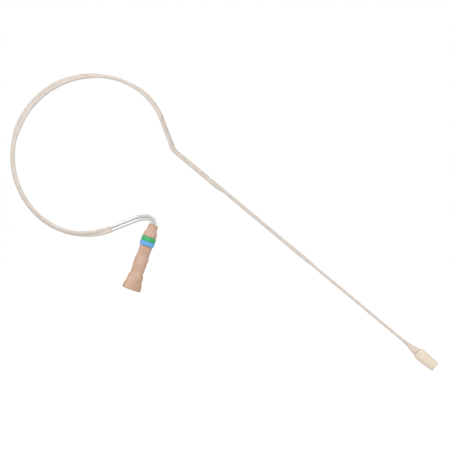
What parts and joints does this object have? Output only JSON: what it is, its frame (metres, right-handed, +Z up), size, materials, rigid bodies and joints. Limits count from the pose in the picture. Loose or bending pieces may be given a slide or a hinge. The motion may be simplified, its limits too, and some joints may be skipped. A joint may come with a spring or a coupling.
{
  "type": "headset microphone",
  "caption": "Single-ear headset microphone: springy twin-wire ear loop, thin straight boom with a capped capsule, and a flared cable connector with coloured bands behind the ear.",
  "frame": {"origin": "underside of the ear loop's crown, where it rests on top of the ear", "axes": "+X forward along the wearer's cheek, +Y into the head, +Z up, as worn on the left of a head"},
  "size_m": [0.1542, 0.0072, 0.1072],
  "materials": {
    "jacket": "thin translucent beige sleeve with a satin surface",
    "wire_steel": "polished stainless wire and tube",
    "lead_sheath": "fine insulated lead",
    "connector_body": "tan moulded plastic with a soft sheen",
    "band_green": "smooth green rubber",
    "band_blue": "smooth light blue rubber",
    "boot": "soft beige moulded rubber",
    "cap": "cream moulded plastic",
    "screen_mesh": "etched steel screen",
    "contact_gold": "gold-plated brass",
    "insulator": "ivory insulating plastic",
    "can": "drawn satin metal can",
    "damping_cloth": "fine dark acoustic cloth",
    "film": "metallised polymer film",
    "board": "green solder mask on laminate",
    "chip": "black moulded resin",
    "solder": "bright solder"
  },
  "bodies": {
    "crown": {"crown_jacket": "jacket", "crown_lead_tube": "wire_steel", "crown_spring_wire": "wire_steel", "crown_lead": "lead_sheath"},
    "rear": {"rear_jacket": "jacket", "rear_lead_tube": "wire_steel", "rear_spring_wire": "wire_steel", "rear_lead": "lead_sheath", "crimp_ferrule": "wire_steel", "connector_collar": "connector_body", "id_band_green": "band_green", "id_band_blue": "band_blue", "connector_barrel": "connector_body", "contact_carrier": "insulator", "centre_contact": "contact_gold", "ring_contact": "contact_gold", "retention_ring": "wire_steel"},
    "knee": {"knee_jacket": "jacket", "knee_lead_tube": "wire_steel", "knee_spring_wire": "wire_steel", "knee_lead": "lead_sheath"},
    "boom": {"boom_jacket": "jacket", "boom_lead_tube": "wire_steel", "boom_lead": "lead_sheath", "capsule_boot": "boot", "capsule_can": "can", "damping_cloth": "damping_cloth", "diaphragm_ring": "contact_gold", "diaphragm": "film", "spacer_ring": "insulator", "backplate": "contact_gold", "backplate_holder": "insulator", "contact_spring": "contact_gold", "amplifier_chip": "chip", "capsule_board": "board", "solder_live": "solder", "solder_ground": "solder"},
    "cap": {"protective_cap": "cap", "cap_screen": "screen_mesh", "screen_ring": "cap"}
  },
  "joints": [
    {"name": "loop_opening", "type": "hinge", "parent": "crown", "child": "rear", "pos_m": [-0.02924, 0, -0.02822], "axis": [0, 1, 0], "range_deg": [-4, 14], "stiffness_Nm_per_rad": 0.2},
    {"name": "boom_swing", "type": "hinge", "parent": "crown", "child": "knee", "pos_m": [0.02678, 0, -0.02069], "axis": [-0.3551, 0, 0.9348], "range_deg": [-12, 12], "stiffness_Nm_per_rad": 0.08},
    {"name": "boom_tilt", "type": "hinge", "parent": "knee", "child": "boom", "pos_m": [0.04518, 0.00052, -0.03922], "axis": [0.0064, 1, 0.0077], "range_deg": [-10, 10], "stiffness_Nm_per_rad": 0.08},
    {"name": "cap_slide", "type": "slide", "parent": "boom", "child": "cap", "axis": [0.7683, 0, -0.6401], "range_m": [0, 0.012]}
  ]
}
